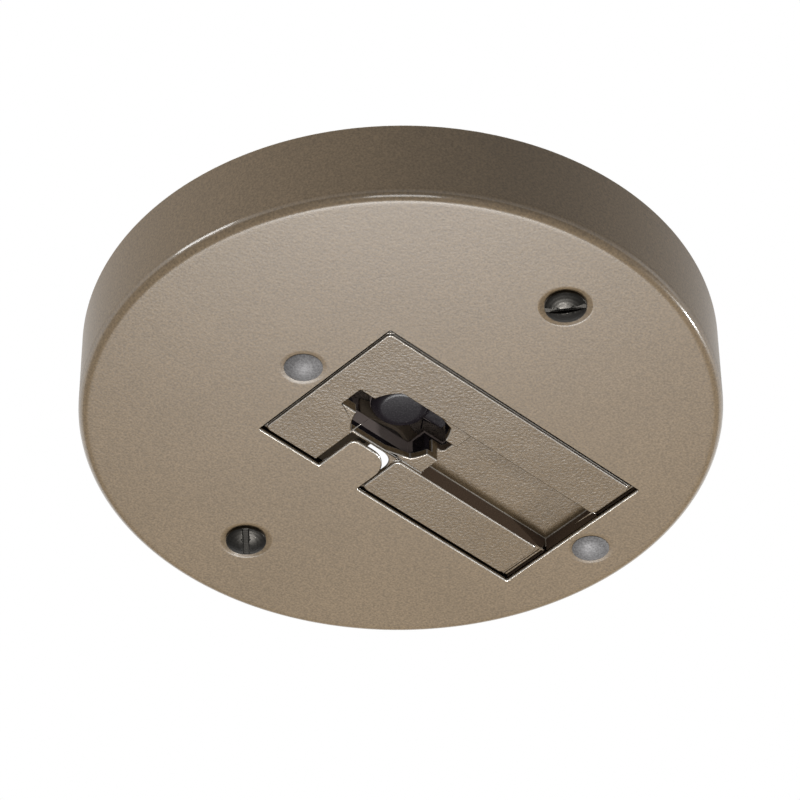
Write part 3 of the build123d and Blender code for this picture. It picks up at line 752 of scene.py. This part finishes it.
class CANOPY_OT_cradle(bpy.types.Operator):
    """Dress the cast adapter cradle with soft edges and orange-peel paint"""

    bl_idname = "canopy.cradle"
    bl_label = "Adapter Cradle"

    def execute(self, context):
        cradle = context.scene.canopy.cradle
        left, right, front, back = cutout_sides(context.scene.canopy.shell)
        gap = cradle.edge_gap
        top = FACE_Z + GROOVE_TOP
        bottom = FACE_Z + cradle.groove_depth + GROOVE_MARGIN
        # Painted shade in the groove round the casting: near black and without gloss
        groove = [
            ((left - gap, front - gap, top), (right + gap, front + gap, bottom)),
            ((left - gap, back - gap, top), (right + gap, back + gap, bottom)),
            ((left - gap, front - gap, top), (left + gap, back + gap, bottom)),
            ((right - gap, front - gap, top), (right + gap, back + gap, bottom)),
        ]
        painted_shades = [(*place, False, cradle.groove_painted_shade) for place in groove]
        # Painted shade on the trench's upright walls
        trench_start = cradle.trench_start_x - TRENCH_MARGIN
        painted_shades.append((
            (trench_start, front, FACE_Z + WALL_TOP), (right + gap, back, 0.0),
            True, cradle.trench_wall_painted_shade,
        ))
        dress(
            "adapter_cradle",
            paint(
                "cradle_paint", cradle.paint, peel_size=0.0005, peel_depth=0.000058,
                dent_depth=0.00012, painted_shades=painted_shades,
            ),
            cradle.edge_radius, segments=3,
            # Edge finish: painted highlight, partly wear, on the edges towards the camera's side;
            # painted shade, the paint at 35 %, on the others and near black in the groove
            edge_material=edge_finish(
                "cradle_edges", cradle.paint, cradle.edge_wear_and_highlight, scaled(cradle.paint, 0.35),
                groove, cradle.groove_painted_shade,
            ),
        )
        return {"FINISHED"}


class CANOPY_OT_rivets(bpy.types.Operator):
    """Spin the two rivets, domed at the face and rolled over behind the flange"""

    bl_idname = "canopy.rivets"
    bl_label = "Cradle Rivets"

    def execute(self, context):
        sizes = context.scene.canopy.fasteners
        back_z = FACE_Z + sizes.rivet_grip
        tail_z = back_z + sizes.rivet_tail_height
        reach = sizes.rivet_head_radius
        height = sizes.rivet_head_height
        ball = (reach ** 2 + height ** 2) / (2 * height)
        skin = bmesh.new()
        dome = []
        for step in range(DOME_STEPS + 1):
            turn = math.asin(reach / ball) * step / DOME_STEPS
            dome.append((ball * math.sin(turn), FACE_Z - height + ball * (1 - math.cos(turn))))
        tail = [
            (sizes.rivet_radius, FACE_Z), (sizes.rivet_radius, back_z),
            (sizes.rivet_tail_radius, back_z), (sizes.rivet_tail_land_radius, tail_z),
            (sizes.rivet_dimple_radius, tail_z), (0, tail_z - sizes.rivet_dimple_depth),
        ]
        points = [skin.verts.new((radius, 0, z)) for radius, z in dome + tail]
        edges = [skin.edges.new(pair) for pair in zip(points, points[1:])]
        bmesh.ops.spin(
            skin, geom=points + edges, cent=(0, 0, 0), axis=(0, 0, 1), angle=2 * math.pi,
            steps=SPIN_STEPS, use_merge=True,
        )
        bmesh.ops.remove_doubles(skin, verts=skin.verts, dist=0.000001)
        bmesh.ops.recalc_face_normals(skin, faces=skin.faces)
        copy = bmesh.ops.duplicate(skin, geom=skin.verts[:] + skin.edges[:] + skin.faces[:])
        moved = only(copy["geom"], bmesh.types.BMVert)
        bmesh.ops.translate(skin, vec=(sizes.rivet_spacing, 0, 0), verts=moved)
        first = (sizes.rivet_x - sizes.rivet_spacing / 2, context.scene.canopy.shell.cutout_y, 0)
        bmesh.ops.translate(skin, vec=first, verts=skin.verts)
        mesh = bpy.data.meshes.new("rivets")
        skin.to_mesh(mesh)
        skin.free()
        finish_piece(
            "domed_rivets", mesh,
            metal(
                "rivet_aluminium", sizes.rivet_metal, roughness=0.6, metallic=0.7, speckle=0.4
            ),
            ["cradle_rivets"], RIVET_ROUNDING,
        )
        return {"FINISHED"}


class CANOPY_OT_canopy_screws(bpy.types.Operator):
    """Dress the two slotted canopy screws"""

    bl_idname = "canopy.canopy_screws"
    bl_label = "Canopy Screws"

    def execute(self, context):
        sizes = context.scene.canopy.fasteners
        spacing = context.scene.canopy.shell.screw_spacing
        dress(
            "canopy_screws", turned_steel("screw_steel", sizes.screw_metal, spacing),
            sizes.screw_edge_radius,
        )
        return {"FINISHED"}


class CANOPY_OT_contact_block(bpy.types.Operator):
    """Dress the contact block, its fibre sheet and its cover"""

    bl_idname = "canopy.contact_block"
    bl_label = "Contact Block"

    def execute(self, context):
        inside = context.scene.canopy.inside
        edge = inside.edge_radius
        # The block's hollow gets painted light, a pale brown in place of fill light
        block = moulded(
            "block_black", inside.moulding, roughness=0.2, peel_depth=0.00001,
            painted_light_boxes=HOLLOW_PAINTED_LIGHT, painted_light_colour=inside.cavity_painted_light,
        )
        cover = moulded("cover_black", inside.cover, roughness=0.4, peel_depth=0.000015)
        dress("contact_housing", block, edge)
        dress("housing_cover", cover, edge)
        dress("fibre_sheet", fibre_board("fibre_board", inside.fibre), edge / 3)
        return {"FINISHED"}


class CANOPY_OT_contacts(bpy.types.Operator):
    """Dress the three strip contacts"""

    bl_idname = "canopy.contacts"
    bl_label = "Contacts"

    def execute(self, context):
        inside = context.scene.canopy.inside
        strip = metal(
            "contact_bronze", inside.strip, roughness=0.5, metallic=0.5, speckle=0.2
        )
        for name in ("line_contact", "neutral_contact", "ground_contact"):
            dress(name, strip, inside.edge_radius / 2)
        return {"FINISHED"}


class CANOPY_OT_small_screws(bpy.types.Operator):
    """Dress the terminal, cover, housing and earthing screws"""

    bl_idname = "canopy.small_screws"
    bl_label = "Small Screws"

    def execute(self, context):
        inside = context.scene.canopy.inside
        edge = inside.edge_radius
        zinc = metal("zinc_plate", inside.zinc, roughness=0.3)
        green = metal("earth_green", inside.green, roughness=0.32)
        brass = metal("screw_brass", inside.brass, roughness=0.25)
        nickel = metal("screw_nickel", inside.nickel, roughness=0.22)
        dress("line_terminal_screw", brass, edge)
        dress("neutral_terminal_screw", nickel, edge)
        dress("ground_terminal_screw", green, edge)
        dress("ground_screw", green, edge)
        dress("cover_screws", zinc, edge)
        dress("housing_screws", zinc, edge)
        return {"FINISHED"}


class CANOPY_OT_crossbar(bpy.types.Operator):
    """Dress the galvanised crossbar"""

    bl_idname = "canopy.crossbar"
    bl_label = "Crossbar"

    def execute(self, context):
        inside = context.scene.canopy.inside
        zinc = galvanised("crossbar_zinc", inside.crossbar)
        dress("crossbar", zinc, inside.edge_radius)
        return {"FINISHED"}


def lamp(name, place, aim, size, power):
    """A square soft lamp that points at a place."""
    light = bpy.data.lights.new(name, "AREA")
    light.shape = "SQUARE"
    light.size = size
    light.energy = power
    made = bpy.data.objects.new(name, light)
    made.location = place
    made.rotation_mode = "QUATERNION"
    made.rotation_quaternion = (Vector(aim) - Vector(place)).to_track_quat("-Z", "Y")
    made.visible_camera = False
    bpy.context.scene.collection.objects.link(made)


class CANOPY_OT_stage(bpy.types.Operator):
    """Set the camera, the lamps, the white surroundings and the pale floor"""

    bl_idname = "canopy.stage"
    bl_label = "Stage"

    def execute(self, context):
        stage = context.scene.canopy.stage
        scene = context.scene
        scene.view_settings.view_transform = "Standard"
        aim = Vector((0, 0, FACE_Z))
        place = Vector(stage.camera_place)
        eye = bpy.data.cameras.new("camera")
        eye.lens = stage.lens
        eye.sensor_width = SENSOR_WIDTH
        eye.shift_x = stage.shift_x
        eye.shift_y = stage.shift_y
        eye.clip_start = NEAREST
        eye.clip_end = FARTHEST
        camera = bpy.data.objects.new("camera", eye)
        camera.location = place
        camera.rotation_mode = "QUATERNION"
        roll = Quaternion((0, 0, 1), stage.camera_roll)
        camera.rotation_quaternion = (aim - place).to_track_quat("-Z", "Y") @ roll
        scene.collection.objects.link(camera)
        scene.camera = camera

        for name, lamp_place, size, power in LAMPS:
            lamp(name, lamp_place, aim, size, getattr(stage, power))

        daylight = bpy.data.lights.new("top_light", "SUN")
        daylight.energy = stage.top_strength
        daylight.angle = math.radians(DAYLIGHT_ANGLE)
        above = bpy.data.objects.new("top_light", daylight)
        above.location = (0, 0, 1)
        scene.collection.objects.link(above)

        world = bpy.data.worlds.new("surroundings")
        world.use_nodes = True
        tree = world.node_tree
        tree.nodes.clear()
        path = node(tree, "LightPath")
        shown = path.outputs["Is Camera Ray"]
        for ray in ("Is Glossy Ray", "Is Transmission Ray"):
            shown = calculated(tree, "MAXIMUM", shown, path.outputs[ray])
        soft = node(tree, "Background", {"Color": (1, 1, 1, 1), "Strength": stage.fill})
        white = node(tree, "Background", {"Color": (1, 1, 1, 1), "Strength": 1.0})
        both = node(tree, "MixShader", {0: shown, 1: soft.outputs[0], 2: white.outputs[0]})
        node(tree, "OutputWorld", {"Surface": both.outputs[0]})
        scene.world = world

        floor_mesh = bpy.data.meshes.new("floor")
        slab = bmesh.new()
        bmesh.ops.create_grid(
            slab, x_segments=1, y_segments=1, size=FLOOR_REACH,
            matrix=Matrix.Translation((0, 0, -stage.floor_drop)),
        )
        slab.to_mesh(floor_mesh)
        slab.free()
        material, tree, where = new_tree("floor_paper")
        surface(tree, {
            "Base Color": blend(tree, noise(tree, where, 0.004, 3), *FLOOR_TINTS),
            "Roughness": 0.9,
        })
        floor_mesh.materials.append(material)
        floor = bpy.data.objects.new("floor", floor_mesh)
        scene.collection.objects.link(floor)
        return {"FINISHED"}


class CANOPY_PT_panel(bpy.types.Panel):
    """Lists the canopy's pieces and settings"""

    bl_label = "Ceiling Canopy"
    bl_space_type = "VIEW_3D"
    bl_region_type = "UI"
    bl_category = "Canopy"

    def draw(self, context):
        settings = context.scene.canopy
        for group, operators in STEPS:
            box = self.layout.box()
            for operator in operators:
                box.operator(operator)
            values = getattr(settings, group)
            for name in type(values).__annotations__:
                box.prop(values, name)


STEPS = (
    ("shell", ("canopy.shell",)),
    ("cradle", ("canopy.cradle",)),
    ("fasteners", ("canopy.rivets", "canopy.canopy_screws")),
    ("inside", (
        "canopy.contact_block", "canopy.contacts", "canopy.small_screws", "canopy.crossbar",
    )),
    ("stage", ("canopy.stage",)),
)

CLASSES = (
    ShellSettings,
    CradleSettings,
    FastenerSettings,
    InsideSettings,
    StageSettings,
    CanopySettings,
    CANOPY_OT_shell,
    CANOPY_OT_cradle,
    CANOPY_OT_rivets,
    CANOPY_OT_canopy_screws,
    CANOPY_OT_contact_block,
    CANOPY_OT_contacts,
    CANOPY_OT_small_screws,
    CANOPY_OT_crossbar,
    CANOPY_OT_stage,
    CANOPY_PT_panel,
)


def register():
    """Register the classes and the scene's settings."""
    for item in CLASSES:
        bpy.utils.register_class(item)
    bpy.types.Scene.canopy = PointerProperty(type=CanopySettings)


def unregister():
    """Remove the settings and the classes."""
    del bpy.types.Scene.canopy
    for item in reversed(CLASSES):
        bpy.utils.unregister_class(item)


def main():
    register()
    bpy.ops.canopy.stage()
    bpy.ops.canopy.shell()
    bpy.ops.canopy.cradle()
    bpy.ops.canopy.rivets()
    bpy.ops.canopy.canopy_screws()
    bpy.ops.canopy.contact_block()
    bpy.ops.canopy.contacts()
    bpy.ops.canopy.small_screws()
    bpy.ops.canopy.crossbar()


if __name__ == "__main__":
    main()
